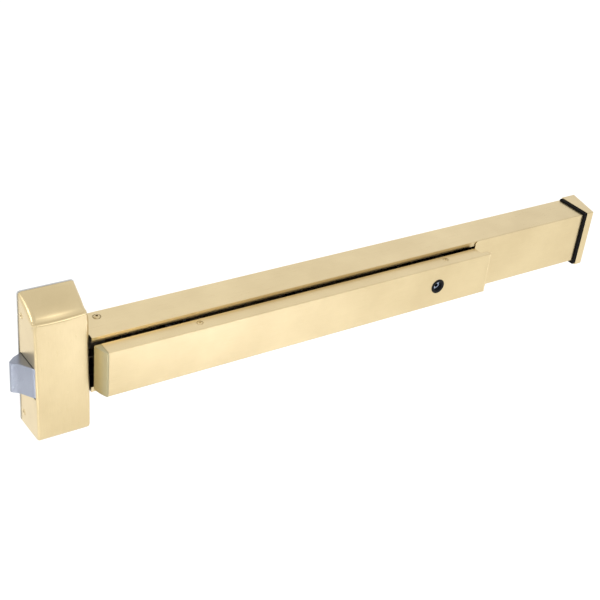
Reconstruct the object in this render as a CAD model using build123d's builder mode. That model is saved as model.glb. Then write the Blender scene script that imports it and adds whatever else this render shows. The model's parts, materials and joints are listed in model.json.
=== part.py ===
"""Rim panic exit bar for a 36 inch door, modelled as separate pieces.

Row frame: the door face is the plane Y = 0 and the device stands out from it towards -Y.
+X runs along the bar from the latch head to the hinge end, and +Z is up.
The origin is the middle of the latch head's base plate, on the door face, at the height of the bar.
All sizes are in millimetres. A "reach" is a distance out from the door face, so Y = -reach.
"""

from math import atan2, cos, degrees, hypot, radians, sin, tan
import os

from build123d import *

# ------------------------------------------------------------------ driving dimensions
# latch head
head_width = 70.0
head_height = 187.0
head_reach = 54.0
head_draft = 1.4
cover_wall = 2.0
plate_thickness = 2.2
plate_proud = 0.8
brow_height = 74.5
brow_reach = 43.5
brow_front = 47.4
brow_step = 1.2

# rail that runs along the door
rail_start = 35.6
rail_end = 848.0
rail_half_height = 39.8
rail_reach = 51.0
rail_wall = 2.2
lip_height = 7.3

# filler plate over the hinge end of the rail
filler_start = 631.5
filler_thickness = 1.6
filler_corner = 6.0

# push pad
pad_half_height = 31.7
pad_reach = 78.0
pad_wall = 1.8
pad_back_reach = 56.0
pad_closer_reach = 44.0
pad_start = 45.5
pad_end = 639.0
pad_travel = 16.0
pad_cap_start = 36.2
pad_cap_front = 43.5
pad_cap_bulge = 0.9
pad_lip_reach = 69.5
pad_lip_length = 11.0

# hinge end cap
gasket_thickness = 4.4
gasket_proud = 3.0
gasket_drop = 6.5
cap_rim = 1.0
cap_front_length = 13.0
cap_back_length = 27.0
cap_wall = 2.5
cap_seat = 16.0

# linkage: two bell cranks turn the pad's travel into the drawbar's
crank_reach = 15.0
crank_offsets = (158.5, 551.5)
pad_pin_offset = 15.5
pin_radius = 2.0
drawbar_travel = 18.2
drawbar_half = 1.5
drawbar_back = 27.0
drawbar_front = 37.4
crank_plate = 2.5

# latch bolt, hung on an upright pin
latch_low = -31.6
latch_high = 11.0
latch_pivot_x = -22.0
latch_pivot_reach = 10.0
latch_turn = 55.0
latch_link_radius = 20.0
latch_link_angle = 107.5
latch_pin_radius = 2.5

# dogging lock, which holds the pad pressed in
dog_x = 548.0
dog_core_radius = 6.8
dog_bush_radius = 10.8
dog_recess = 3.6
hex_across_flats = 5.0

# fixings
door_hole_radius = 3.25
head_hole_spacing_x = 32.0
head_hole_spacing_z = 160.0
end_hole_spacing_z = 40.0
end_hole_x = 821.0
running_gap = 0.05
cover_screw_heights = (66.0, -74.0)
cover_screw_reach = 11.0
cover_seat_radius = 4.2
cover_seat_depth = 0.9
rail_screw_x = 60.0
rail_screw_reach = 11.5
rail_seat_radius = 5.6
rail_seat_depth = 1.0
pad_screw_reach = 64.0
pad_seat_radius = 4.5
pad_seat_depth = 0.8

# ------------------------------------------------------------------ worked out from them
crank_swing = degrees(atan2(pad_travel / 2, pad_pin_offset))
crank_arm_b = drawbar_travel / (2 * sin(radians(crank_swing)))
bracket_offsets = tuple(x + pad_pin_offset for x in crank_offsets)
rail_inner = rail_half_height - rail_wall
pad_inner = pad_half_height - pad_wall
lip_edge = rail_half_height - lip_height
rail_seat_z = rail_half_height - rail_seat_depth
pad_seat_z = pad_half_height - pad_seat_depth
cover_seat_x = (head_width / 2 - cover_seat_depth
                - (cover_screw_reach - plate_thickness) * tan(radians(head_draft)))
latch_pin_rest_x = latch_pivot_x + latch_link_radius * cos(radians(latch_link_angle))
latch_pin_rest_reach = latch_pivot_reach + latch_link_radius * sin(radians(latch_link_angle))

os.makedirs("parts", exist_ok=True)


def save(piece, name):
    """Label one finished piece and write it as its own STEP file."""
    piece.label = name
    export_step(piece, f"parts/{name}.step")


def level(height):
    """A horizontal sketch plane whose local x is +X and local y is the reach out from the door."""
    return Plane(origin=(0, 0, height), x_dir=(1, 0, 0), z_dir=(0, 0, -1))


def facing(reach):
    """An upright sketch plane parallel to the door, seen from the room: local x is +X, y is +Z."""
    return Plane(origin=(0, -reach, 0), x_dir=(1, 0, 0), z_dir=(0, -1, 0))


def across(x):
    """An upright sketch plane square to the bar: local x is the reach, local y is +Z."""
    return Plane(origin=(x, 0, 0), x_dir=(0, -1, 0), z_dir=(-1, 0, 0))


def slab(x0, x1, reach0, reach1, z0, z1, mode=Mode.ADD):
    """A rectangular block given by its limits along X, reach and Z."""
    with Locations(((x0 + x1) / 2, -(reach0 + reach1) / 2, (z0 + z1) / 2)):
        Box(x1 - x0, reach1 - reach0, z1 - z0, mode=mode)


def rod(plane, u, v, radius, length, mode=Mode.ADD):
    """A round bar of the given length that starts on a plane at local (u, v)."""
    with BuildSketch(plane) as end:
        with Locations((u, v)):
            Circle(radius)
    extrude(end.sketch, amount=length, mode=mode)


def arm(u0, v0, u1, v1, width):
    """A flat lever outline with round ends, drawn between two points of the open sketch."""
    length = hypot(u1 - u0, v1 - v0)
    turn = degrees(atan2(v1 - v0, u1 - u0))
    with Locations(Location(((u0 + u1) / 2, (v0 + v1) / 2, 0), (0, 0, turn))):
        SlotCenterToCenter(length, width)


# ------------------------------------------------------------------ latch head: cover and chassis
def head_form(inset):
    """The head's solid outer form, or the same form drawn in by an inset for its hollow."""
    with BuildPart() as form:
        with BuildSketch(Plane(origin=(0, -plate_thickness, 0), x_dir=(1, 0, 0), z_dir=(0, -1, 0))):
            Rectangle(head_width - 2 * inset, head_height - 2 * inset)
        extrude(amount=head_reach - plate_thickness - inset, taper=head_draft)
        top = head_height / 2 - inset
        brow_top = brow_height - inset
        front = head_reach - inset
        with BuildSketch(across(head_width)):
            with BuildLine():
                # rounded slope, step up to the brow, then a front that leans out to the foot
                slope = ThreePointArc(
                    (-1, top + 0.2),
                    (brow_reach / 2, (top + brow_top) / 2 + 2.4),
                    (brow_reach, brow_top),
                )
                Polyline(
                    slope @ 1,
                    (brow_reach + 0.6, brow_top + brow_step),
                    (brow_front - inset - 1.2, brow_top + brow_step - 0.6),
                    (brow_front - inset, brow_top - 3.5),
                    (front, -head_height / 2 - 1),
                    (front + 9, -head_height / 2 - 1),
                    (front + 9, top + 10),
                    (-1, top + 10),
                    slope @ 0,
                )
            make_face()
        extrude(amount=2 * head_width, mode=Mode.SUBTRACT)
    return form.part


with BuildPart() as head_cover:
    add(head_form(0))
    upright = head_cover.edges().filter_by(lambda e: abs(e.tangent_at(0.5).Z) > 0.98)
    fillet(upright.sort_by(Axis.Y)[:2], 3.2)
    foot = head_cover.edges().filter_by(lambda e: e.center().Z < -head_height / 2 + 2)
    fillet(foot.sort_by(Axis.Y)[0], 3.0)
    add(head_form(cover_wall), mode=Mode.SUBTRACT)
    # slot for the latch bolt in the strike side
    slab(-head_width, -head_width / 2 + cover_wall + 3, 5, 47, latch_low - 0.8, latch_high + 0.8,
         mode=Mode.SUBTRACT)
    # way through to the rail in the other side
    slab(head_width / 2 - cover_wall - 3, head_width, 0, 44, -26, 26, mode=Mode.SUBTRACT)
    # cover screw holes in both sides, each in a shallow seat
    for height in cover_screw_heights:
        rod(across(head_width), cover_screw_reach, height, 2.0 + running_gap, 2 * head_width,
            mode=Mode.SUBTRACT)
        for side in (-1, 1):
            x0, x1 = sorted((side * head_width, side * cover_seat_x))
            rod(across(x1), cover_screw_reach, height, cover_seat_radius, x1 - x0, mode=Mode.SUBTRACT)
save(head_cover.part, "head_cover")

with BuildPart() as head_base_plate:
    slab(-head_width / 2 - plate_proud, rail_start - 0.6, 0, plate_thickness,
         -head_height / 2, head_height / 2)
    with BuildSketch(facing(plate_thickness)):
        with GridLocations(head_hole_spacing_x, head_hole_spacing_z, 2, 2):
            Circle(door_hole_radius)
    extrude(amount=-plate_thickness, mode=Mode.SUBTRACT)
    fillet(head_base_plate.edges().filter_by(Axis.Y).filter_by(
        lambda e: abs(e.center().Z) > head_height / 2 - 1), 1.5)
    # side tabs that the cover screws are driven into
    tab_outer = head_width / 2 - cover_wall - 0.8
    for side in (-1, 1):
        for height in cover_screw_heights:
            x0, x1 = sorted((side * tab_outer, side * (tab_outer - 2.2)))
            slab(x0, x1, 0.5, cover_screw_reach + 6, height - 7, height + 7)
    for height in cover_screw_heights:
        rod(across(head_width), cover_screw_reach, height, 2.0 + running_gap, 2 * head_width,
            mode=Mode.SUBTRACT)
save(head_base_plate.part, "head_base_plate")

with BuildPart() as cover_screws:
    # four oval-head screws, two in each side of the cover
    for side in (-1, 1):
        for height in cover_screw_heights:
            with BuildPart(mode=Mode.PRIVATE) as one:
                with BuildSketch(Plane.XZ):
                    with BuildLine():
                        Polyline((0, 0), (3.5, 0), (3.5, 0.5))
                        ThreePointArc((3.5, 0.5), (2.2, 1.15), (0, 1.4))
                        Line((0, 1.4), (0, 0))
                    make_face()
                revolve(axis=Axis.Z)
                rod(Plane.XY, 0, 0, 2.0, -7.0)
                with BuildSketch(Plane.XY.offset(1.5)):
                    Rectangle(6.4, 1.0)
                extrude(amount=-0.7, mode=Mode.SUBTRACT)
            add(Location((side * cover_seat_x, -cover_screw_reach, height), (0, side * 90, 0)) * one.part)
save(cover_screws.part, "cover_screws")

with BuildPart() as latch_bracket:
    # a U of steel whose two shelves carry the latch's upright pin
    shelf_low = latch_low - 0.5
    shelf_high = latch_high + 0.9
    slab(-31, 8, plate_thickness, 3.2, shelf_low - 2.5, shelf_high + 2.5)
    slab(-31, 8, plate_thickness, 40, shelf_high, shelf_high + 2.5)
    slab(-31, 8, plate_thickness, 40, shelf_low - 2.5, shelf_low)
    fillet(latch_bracket.edges().filter_by(Axis.Z).filter_by(
        lambda e: e.center().Y < -39), 6)
    rod(level(60), latch_pivot_x, latch_pivot_reach, latch_pin_radius + running_gap, 120,
        mode=Mode.SUBTRACT)
    # ears for the two screws that hold it to the base plate
    slab(-20, 8, plate_thickness, 3.8, shelf_high + 2.5, shelf_high + 14)
    slab(-20, 8, plate_thickness, 3.8, shelf_low - 14, shelf_low - 2.5)
save(latch_bracket.part, "latch_bracket")

with BuildPart() as latch_pivot_pin:
    pin_low = shelf_low - 4.5
    pin_high = shelf_high + 4.0
    with BuildSketch(Plane.XY.offset(pin_low)):
        with Locations((latch_pivot_x, -latch_pivot_reach)):
            Circle(latch_pin_radius)
    extrude(amount=pin_high - pin_low)
    with BuildSketch(Plane.XY.offset(shelf_high + 2.5)):
        with Locations((latch_pivot_x, -latch_pivot_reach)):
            Circle(4.2)
    extrude(amount=1.5)
save(latch_pivot_pin.part, "latch_pivot_pin")

with BuildPart() as latch_bolt:
    with BuildSketch(level(latch_low)):
        with BuildLine():
            # the nose outside the head: flat front, blunt tip and a sloped back
            Polyline((-31, 45), (-35, 43), (-45, 28.5), (-52.4, 22.2))
            ThreePointArc((-52.4, 22.2), (-54.2, 19.4), (-52.6, 16.6))
            Polyline((-52.6, 16.6), (-46, 10.5), (-36.5, 5.9), (-22, 4), (-15.8, 10),
                     (-17, 14), (-22, 24), (-23.5, 33), (-26, 41), (-31, 45))
        make_face()
        with Locations((latch_pivot_x, latch_pivot_reach)):
            Circle(6.4)
    extrude(amount=-(latch_high - latch_low))
    nose = latch_bolt.edges().filter_by(lambda e: e.center().X < -36 and abs(
        abs(e.center().Z - (latch_low + latch_high) / 2) - (latch_high - latch_low) / 2) < 0.1)
    fillet(nose, 0.8)
    # slot that the drawbar's tongue works in
    with BuildSketch(level(2.4)):
        with BuildLine():
            Polyline((-33.2, 20), (-33.2, 36), (-31, 50), (0, 50), (0, 17), (-27, 17), (-33.2, 20))
        make_face()
        with Locations((latch_pin_rest_x, latch_pin_rest_reach)):
            Circle(10.2)
    extrude(amount=4.8, mode=Mode.SUBTRACT)
    # pocket for the torsion spring round the pin
    with BuildSketch(level(-16)):
        with Locations((latch_pivot_x, latch_pivot_reach)):
            Circle(9.0)
        with Locations((latch_pivot_x + 4, latch_pivot_reach)):
            Rectangle(16, 14)
    extrude(amount=11, mode=Mode.SUBTRACT)
    rod(level(60), latch_pivot_x, latch_pivot_reach, latch_pin_radius + running_gap, 120,
        mode=Mode.SUBTRACT)
    rod(level(8), latch_pin_rest_x, latch_pin_rest_reach, pin_radius + running_gap, 16,
        mode=Mode.SUBTRACT)
save(latch_bolt.part, "latch_bolt")

with BuildPart() as latch_link_pin:
    rod(level(7.8), latch_pin_rest_x, latch_pin_rest_reach, pin_radius, 15.6)
save(latch_link_pin.part, "latch_link_pin")


def coil(radius, wire, pitch, height):
    """A helical spring wire standing on the XY plane."""
    path = Helix(pitch=pitch, height=height, radius=radius)
    with BuildPart() as spring:
        with BuildLine():
            add(path)
        with BuildSketch(Plane(origin=path @ 0, z_dir=path % 0)):
            Circle(wire / 2)
        sweep(is_frenet=True)
    return spring.part


with BuildPart() as latch_spring:
    add(Location((latch_pivot_x, -latch_pivot_reach, -25.6)) * coil(4.2, 1.0, 1.3, 8.0))
save(latch_spring.part, "latch_spring")

# ------------------------------------------------------------------ rail, filler and hinge end
with BuildPart() as rail_case:
    with BuildSketch(across(rail_start)):
        with BuildLine():
            Polyline(
                (0, -rail_half_height), (0, rail_half_height),
                (rail_reach, rail_half_height), (rail_reach, lip_edge),
                (rail_reach - rail_wall, lip_edge), (rail_reach - rail_wall, rail_inner),
                (rail_wall, rail_inner), (rail_wall, -rail_inner),
                (rail_reach - rail_wall, -rail_inner), (rail_reach - rail_wall, -lip_edge),
                (rail_reach, -lip_edge), (rail_reach, -rail_half_height), (0, -rail_half_height),
            )
        make_face()
    extrude(amount=-(rail_end - rail_start))
    outer = rail_case.edges().filter_by(Axis.X).filter_by(
        lambda e: abs(e.center().Z) > rail_half_height - 0.1 and e.center().Y < -rail_wall)
    fillet(outer, 0.8)
    # door screws at the hinge end, rail screws at the head end, fixings for the linkage
    for height in (-end_hole_spacing_z / 2, end_hole_spacing_z / 2):
        rod(facing(-1), end_hole_x, height, door_hole_radius, 10, mode=Mode.SUBTRACT)
    rod(level(60), rail_screw_x, rail_screw_reach, 2.5 + running_gap, 120, mode=Mode.SUBTRACT)
    rod(level(60), rail_screw_x, rail_screw_reach, rail_seat_radius, 60 - rail_seat_z, mode=Mode.SUBTRACT)
    rod(level(-rail_seat_z), rail_screw_x, rail_screw_reach, rail_seat_radius, 60, mode=Mode.SUBTRACT)
    for x in crank_offsets:
        for height in (-5, 5):
            rod(facing(-1), x - 13, height, 2.0 + running_gap, 10, mode=Mode.SUBTRACT)
save(rail_case.part, "rail_case")

with BuildPart() as rail_bracket:
    # ties the rail's head end to the base plate
    slab(9, rail_start + 3, plate_thickness, 4.4, -24, 24)
    slab(rail_start + 2.5, rail_screw_x + 14, rail_wall, 4.4, -rail_inner + 0.2, rail_inner - 0.2)
    for side in (-1, 1):
        z0, z1 = sorted((side * (rail_inner - 0.2), side * (rail_inner - 2.6)))
        slab(rail_start + 2.5, rail_screw_x + 14, rail_wall, 22, z0, z1)
    rod(level(60), rail_screw_x, rail_screw_reach, 2.5 + running_gap, 120, mode=Mode.SUBTRACT)
save(rail_bracket.part, "rail_bracket")


def dome_screw(head_radius, head_height_, shank_radius, shank_length):
    """A round-head screw that stands on the XY plane, with its shank going down and a hex socket."""
    with BuildPart() as screw:
        with BuildSketch(Plane.XZ):
            with BuildLine():
                Polyline((0, 0), (head_radius, 0), (head_radius, head_height_ * 0.25))
                ThreePointArc((head_radius, head_height_ * 0.25),
                              (head_radius * 0.62, head_height_ * 0.8), (0, head_height_))
                Line((0, head_height_), (0, 0))
            make_face()
        revolve(axis=Axis.Z)
        rod(Plane.XY, 0, 0, shank_radius, -shank_length)
        with BuildSketch(Plane.XY.offset(head_height_ + 0.1)):
            RegularPolygon(head_radius * 0.34, 6)
        extrude(amount=-head_height_ * 0.7, mode=Mode.SUBTRACT)
    return screw.part


with BuildPart() as rail_screws:
    screw = dome_screw(5.0, 2.0, 2.5, 5.5)
    add(Location((rail_screw_x, -rail_screw_reach, rail_seat_z)) * screw)
    add(Location((rail_screw_x, -rail_screw_reach, -rail_seat_z), (180, 0, 0)) * screw)
save(rail_screws.part, "rail_screws")

with BuildPart() as filler_plate:
    with BuildSketch(facing(rail_reach)):
        with Locations(((filler_start + rail_end) / 2, 0)):
            Rectangle(rail_end - filler_start, 2 * rail_half_height)
        fillet(vertices().sort_by(Axis.X)[:2], filler_corner)
    extrude(amount=filler_thickness)
    # two legs that snap behind the rail's lips
    for side in (-1, 1):
        z0, z1 = sorted((side * (lip_edge - 0.4), side * (lip_edge - 2.2)))
        slab(filler_start + 10, rail_end - 8, 40, rail_reach + 0.5, z0, z1)
    front = filler_plate.faces().sort_by(Axis.Y)[0]
    fillet(front.edges(), 0.4)
save(filler_plate.part, "filler_plate")

with BuildPart() as end_bracket:
    # holds the rail's hinge end to the door and the end cap to the rail
    slab(rail_end - 44, rail_end - 1, rail_wall, 5, -30, 30)
    slab(rail_end - 4, rail_end - 1, rail_wall, 38, -30, 30)
    for height in (-end_hole_spacing_z / 2, end_hole_spacing_z / 2):
        rod(facing(0), end_hole_x, height, door_hole_radius, 10, mode=Mode.SUBTRACT)
    for height in (-14, 14):
        rod(across(rail_end + 5), 24, height, 2.0 + running_gap, 20, mode=Mode.SUBTRACT)
save(end_bracket.part, "end_bracket")

with BuildPart() as end_gasket:
    # black seal between the rail's end and the cap
    gasket_reach = rail_reach + filler_thickness + gasket_proud
    with BuildSketch(across(rail_end)):
        with Locations((gasket_reach / 2, (gasket_proud - gasket_drop) / 2)):
            RectangleRounded(gasket_reach, 2 * rail_half_height + gasket_proud + gasket_drop, 2.0)
        with Locations((24, 0)):
            Rectangle(30, 50, mode=Mode.SUBTRACT)
    extrude(amount=-gasket_thickness)
save(end_gasket.part, "end_gasket")

cap_start = rail_end + gasket_thickness
cap_reach = rail_reach + filler_thickness + gasket_proud + cap_rim
cap_top = rail_half_height + gasket_proud + cap_rim
cap_bottom = -rail_half_height - gasket_drop - cap_rim


def cap_form(inset, start):
    """The end cap's wedge, or the same wedge drawn in by an inset for its hollow."""
    with BuildPart() as form:
        with BuildSketch(level(cap_top - inset)):
            with BuildLine():
                Polyline(
                    (start, inset), (start, cap_reach - inset),
                    (cap_start + cap_front_length - inset, cap_reach - inset),
                    (cap_start + cap_back_length - inset, inset), (start, inset),
                )
            make_face()
        extrude(amount=cap_top - cap_bottom - 2 * inset)
    return form.part


with BuildPart() as end_cap:
    add(cap_form(0, cap_start))
    sharp = end_cap.edges().filter_by(
        lambda e: e.center().X > cap_start + 1 and e.center().Y < -1)
    fillet(sharp, 1.8)
    add(cap_form(cap_wall, cap_start - 1), mode=Mode.SUBTRACT)
    # bosses and holes for the two cap screws
    for height in (-14, 14):
        rod(across(cap_start + cap_seat + 3.5), 24, height, 5.2, cap_seat + 3.5)
        rod(across(cap_start + 40), 24, height, 2.0 + running_gap, 60, mode=Mode.SUBTRACT)
        rod(across(cap_start + 40), 24, height, 4.0 + running_gap, 40 - cap_seat, mode=Mode.SUBTRACT)
save(end_cap.part, "end_cap")

with BuildPart() as end_cap_screws:
    for height in (-14, 14):
        screw = dome_screw(3.9, 2.0, 2.0, cap_seat + 8.0)
        add(Location((cap_start + cap_seat, -24, height), (0, 90, 0)) * screw)
save(end_cap_screws.part, "end_cap_screws")

# ------------------------------------------------------------------ push pad
with BuildPart() as push_pad:
    with BuildSketch(across(pad_start)):
        with BuildLine():
            Polyline(
                (pad_back_reach, -pad_half_height), (pad_reach, -pad_half_height),
                (pad_reach, pad_half_height), (pad_back_reach, pad_half_height),
                (pad_back_reach, pad_inner), (pad_reach - pad_wall, pad_inner),
                (pad_reach - pad_wall, -pad_inner), (pad_back_reach, -pad_inner),
                (pad_back_reach, -pad_half_height),
            )
        make_face()
    extrude(amount=-(pad_end - pad_start))
    fillet(push_pad.edges().filter_by(Axis.X).filter_by(
        lambda e: e.center().Y < -pad_reach + 0.1), 1.2)
    # the hinge end stays in front of the filler plate
    slab(pad_end - pad_lip_length, pad_end + 1, 0, pad_lip_reach, -40, 40, mode=Mode.SUBTRACT)
    rod(facing(0), dog_x, 0, 9.2, 100, mode=Mode.SUBTRACT)
    for x in bracket_offsets:
        rod(level(60), x, pad_screw_reach, 1.75 + running_gap, 120, mode=Mode.SUBTRACT)
        rod(level(60), x, pad_screw_reach, pad_seat_radius, 60 - pad_seat_z, mode=Mode.SUBTRACT)
        rod(level(-pad_seat_z), x, pad_screw_reach, pad_seat_radius, 60, mode=Mode.SUBTRACT)
save(push_pad.part, "push_pad")

with BuildPart() as pad_cap_head_end:
    # bevelled cap that closes the pad beside the latch head
    with BuildSketch(level(pad_half_height)):
        with BuildLine():
            bevel = ThreePointArc(
                (pad_cap_start, pad_back_reach),
                ((pad_cap_start + pad_cap_front) / 2 - pad_cap_bulge,
                 (pad_back_reach + pad_reach) / 2 + pad_cap_bulge),
                (pad_cap_front, pad_reach),
            )
            Polyline(bevel @ 1, (pad_start, pad_reach), (pad_start, pad_back_reach), bevel @ 0)
        make_face()
    extrude(amount=2 * pad_half_height)
    fillet(pad_cap_head_end.edges().filter_by(Axis.Z).sort_by(Axis.Y)[0:1], 0.8)
    slab(pad_start, pad_start + 12, pad_back_reach, pad_reach - pad_wall - 0.1,
         -pad_inner + 0.1, pad_inner - 0.1)
    slab(pad_cap_start + 4, pad_start + 13, 40, pad_reach - 8, -pad_inner + 4, pad_inner - 4,
         mode=Mode.SUBTRACT)
save(pad_cap_head_end.part, "pad_cap_head_end")

with BuildPart() as pad_cap_hinge_end:
    # closes the pad's other end and its overhang in front of the filler plate
    inner = pad_inner - 0.1
    overhang = pad_end - pad_lip_length
    slab(pad_end, pad_end + 2, pad_lip_reach, pad_reach, -pad_half_height, pad_half_height)
    slab(overhang - 2, pad_end, pad_lip_reach, pad_lip_reach + 1.8, -inner, inner)
    slab(overhang - 2.5, overhang - 0.7, pad_closer_reach, pad_lip_reach + 1.8, -inner, inner)
    fillet(pad_cap_hinge_end.edges().filter_by(Axis.Z).sort_by(Axis.Y)[0:2].sort_by(Axis.X)[-1], 0.8)
save(pad_cap_hinge_end.part, "pad_cap_hinge_end")

web_back = 40.8
spring_pitch = 7.3
for number, x in enumerate(bracket_offsets, start=1):
    with BuildPart() as pad_bracket:
        # web behind the pad's walls, flanges inside them, two ears for the crank pin
        slab(x - 4.5, x + 4.5, 57.8, 60, -9, 9)
        for side in (-1, 1):
            z0, z1 = sorted((side * 7.0, side * 36.2))
            slab(x - 7, x + 7, web_back, web_back + 2.2, z0, z1)
            z0, z1 = sorted((side * (pad_inner - 0.1), side * (pad_inner - 2.2)))
            slab(x - 7, x + 7, web_back, 70, z0, z1)
            z0, z1 = sorted((side * 7.0, side * 9.0))
            slab(x - 4.5, x + 4.5, 23, 60, z0, z1)
            rod(level(z1), x, crank_reach + pad_travel / 2, 4.0, z1 - z0)
        rod(level(60), x, crank_reach + pad_travel / 2, pin_radius + running_gap, 120,
            mode=Mode.SUBTRACT)
        rod(level(60), x, pad_screw_reach, 1.75 + running_gap, 120, mode=Mode.SUBTRACT)
    save(pad_bracket.part, f"pad_bracket_{number}")

    with BuildPart() as pad_pin:
        rod(level(9.6), x, crank_reach + pad_travel / 2, pin_radius, 19.2)
    save(pad_pin.part, f"pad_pin_{number}")

    with BuildPart() as pad_bumpers:
        # rubber blocks that meet the rail's lips as the pad comes back out
        for side in (-1, 1):
            z0, z1 = sorted((side * 33.2, side * 36.0))
            slab(x - 5, x + 5, web_back + 2.2, rail_reach - rail_wall - 0.3, z0, z1)
    save(pad_bumpers.part, f"pad_bumpers_{number}")

with BuildPart() as pad_screws:
    screw = dome_screw(3.8, 1.3, 1.75, 3.8)
    for x in bracket_offsets:
        add(Location((x, -pad_screw_reach, pad_seat_z)) * screw)
        add(Location((x, -pad_screw_reach, -pad_seat_z), (180, 0, 0)) * screw)
save(pad_screws.part, "pad_screws")

# ------------------------------------------------------------------ linkage
for number, x in enumerate(crank_offsets, start=1):
    rest = radians(crank_swing)
    with BuildPart() as bell_crank:
        pad_pin_far = hypot(pad_pin_offset, pad_travel / 2)
        tip_a = (x + pad_pin_far * cos(rest), crank_reach + pad_pin_far * sin(rest))
        tip_b = (x - crank_arm_b * sin(rest), crank_reach + crank_arm_b * cos(rest))
        for low in (drawbar_half + 0.4, -drawbar_half - 0.4 - crank_plate):
            with BuildSketch(level(low + crank_plate)):
                arm(x, crank_reach, *tip_a, 8.0)
                arm(x, crank_reach, *tip_b, 8.4)
            extrude(amount=crank_plate)
        rod(level(6.4), x, crank_reach, 5.5, 12.8)
        rod(level(20), x, crank_reach, 2.5 + running_gap, 40, mode=Mode.SUBTRACT)
        # radial slot for the pad's pin, plain hole for the drawbar's pin
        near, far = pad_pin_offset - 0.5, pad_pin_far + 0.5
        with BuildSketch(level(20)):
            arm(x + near * cos(rest), crank_reach + near * sin(rest),
                x + far * cos(rest), crank_reach + far * sin(rest), 2 * pin_radius + 0.7)
        extrude(amount=40, mode=Mode.SUBTRACT)
        rod(level(20), *tip_b, pin_radius + running_gap, 40, mode=Mode.SUBTRACT)
    save(bell_crank.part, f"bell_crank_{number}")

    with BuildPart() as drawbar_pin:
        rod(level(5.2), *tip_b, pin_radius, 10.4)
    save(drawbar_pin.part, f"drawbar_pin_{number}")

    with BuildPart() as crank_bracket:
        slab(x - 18, x + 9, rail_wall, 4.2, -9, 9)
        for z0 in (-9, 7):
            slab(x - 6, x + 6, rail_wall, crank_reach, z0, z0 + 2)
            rod(level(z0 + 2), x, crank_reach, 6.0, 2)
        rod(level(20), x, crank_reach, 2.5 + running_gap, 40, mode=Mode.SUBTRACT)
        for height in (-5, 5):
            rod(facing(0), x - 13, height, 2.0 + running_gap, 10, mode=Mode.SUBTRACT)
    save(crank_bracket.part, f"crank_bracket_{number}")

    with BuildPart() as crank_pivot:
        rod(level(10.5), x, crank_reach, 2.5, 19.8)
        rod(level(10.5), x, crank_reach, 3.8, 1.4)
    save(crank_pivot.part, f"crank_pivot_{number}")

with BuildPart() as linkage_screws:
    for x in crank_offsets:
        for height in (-5, 5):
            screw = dome_screw(3.2, 1.9, 2.0, 3.7)
            add(Location((x - 13, -4.2, height), (90, 0, 0)) * screw)
save(linkage_screws.part, "linkage_screws")

with BuildPart() as drawbar:
    end_x = crank_offsets[1] + 4
    tongue_x = latch_pin_rest_x - 4.5
    slab(tongue_x + 7, 66, 20.6, 34.4, -drawbar_half, drawbar_half)
    with BuildSketch(level(drawbar_half)):
        with Locations((tongue_x + 7, 27.5)):
            RectangleRounded(14, 13.8, 5)
    extrude(amount=2 * drawbar_half)
    slab(56, end_x, drawbar_back, drawbar_front, -drawbar_half, drawbar_half)
    # slots for the latch pin and the crank pins, long across the bar's travel
    latch_pin_low = latch_pivot_reach + latch_link_radius * sin(
        radians(latch_link_angle - latch_turn))
    with BuildSketch(level(20)):
        arm(latch_pin_rest_x + 0.1, latch_pin_low - 0.4,
            latch_pin_rest_x + 0.1, latch_pivot_reach + latch_link_radius + 0.3,
            2 * pin_radius + 1.3)
        for x in crank_offsets:
            pin_x = x - crank_arm_b * sin(radians(crank_swing))
            low = crank_reach + crank_arm_b * cos(radians(crank_swing))
            arm(pin_x, low - 0.3, pin_x, crank_reach + crank_arm_b + 0.1, 2 * pin_radius + 0.7)
    extrude(amount=40, mode=Mode.SUBTRACT)
save(drawbar.part, "drawbar")

for number, x in enumerate((95.0, 350.0), start=1):
    with BuildPart() as drawbar_guide:
        # nylon block that keeps the drawbar straight
        slab(x - 6, x + 6, rail_wall, 42, -9, 9)
        slab(x - 7, x + 7, drawbar_back - 0.4, drawbar_front + 0.4, -drawbar_half - 0.4,
             drawbar_half + 0.4, mode=Mode.SUBTRACT)
        fillet(drawbar_guide.edges().filter_by(Axis.X).filter_by(
            lambda e: e.center().Y < -41), 3)
    save(drawbar_guide.part, f"drawbar_guide_{number}")

for number, x in enumerate(bracket_offsets, start=1):
    with BuildPart() as return_spring:
        # a pair of springs that push the pad's bracket back out
        for height in (-18, 18):
            wound = coil(4.4, 1.2, spring_pitch, web_back - rail_wall - 2.0)
            add(Location((x, -rail_wall - 1.0, height), (90, 0, 0)) * wound)
    save(return_spring.part, f"return_spring_{number}")

# ------------------------------------------------------------------ dogging lock
with BuildPart() as dog_bush:
    # black collar in the pad's front
    with BuildSketch(facing(pad_reach - 8)):
        with Locations((dog_x, 0)):
            Circle(9.1)
    extrude(amount=8.0)
    with BuildSketch(facing(pad_reach)):
        with Locations((dog_x, 0)):
            Circle(dog_bush_radius)
    extrude(amount=0.7)
    rod(facing(0), dog_x, 0, dog_core_radius + running_gap, 100, mode=Mode.SUBTRACT)
save(dog_bush.part, "dog_bush")

cam_reach = 54.6
with BuildPart() as dog_shaft:
    core_front = pad_reach + 0.7 - dog_recess
    rod(facing(pad_reach - 8.8), dog_x, 0, dog_core_radius, core_front - pad_reach + 8.8)
    rod(facing(cam_reach), dog_x, 0, 3.5, pad_reach - 8.5 - cam_reach)
    with BuildSketch(facing(core_front)):
        with Locations((dog_x, 0)):
            RegularPolygon(hex_across_flats / 2, 6, major_radius=False)
    extrude(amount=-5.0, mode=Mode.SUBTRACT)
save(dog_shaft.part, "dog_shaft")

with BuildPart() as dog_cam:
    # cross bar that turns behind the keeper once the pad is in
    with BuildSketch(facing(cam_reach)):
        with Locations((dog_x, 0)):
            SlotOverall(17, 8.0)
            Circle(3.5 + running_gap, mode=Mode.SUBTRACT)
    extrude(amount=3.0)
save(dog_cam.part, "dog_cam")

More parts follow.
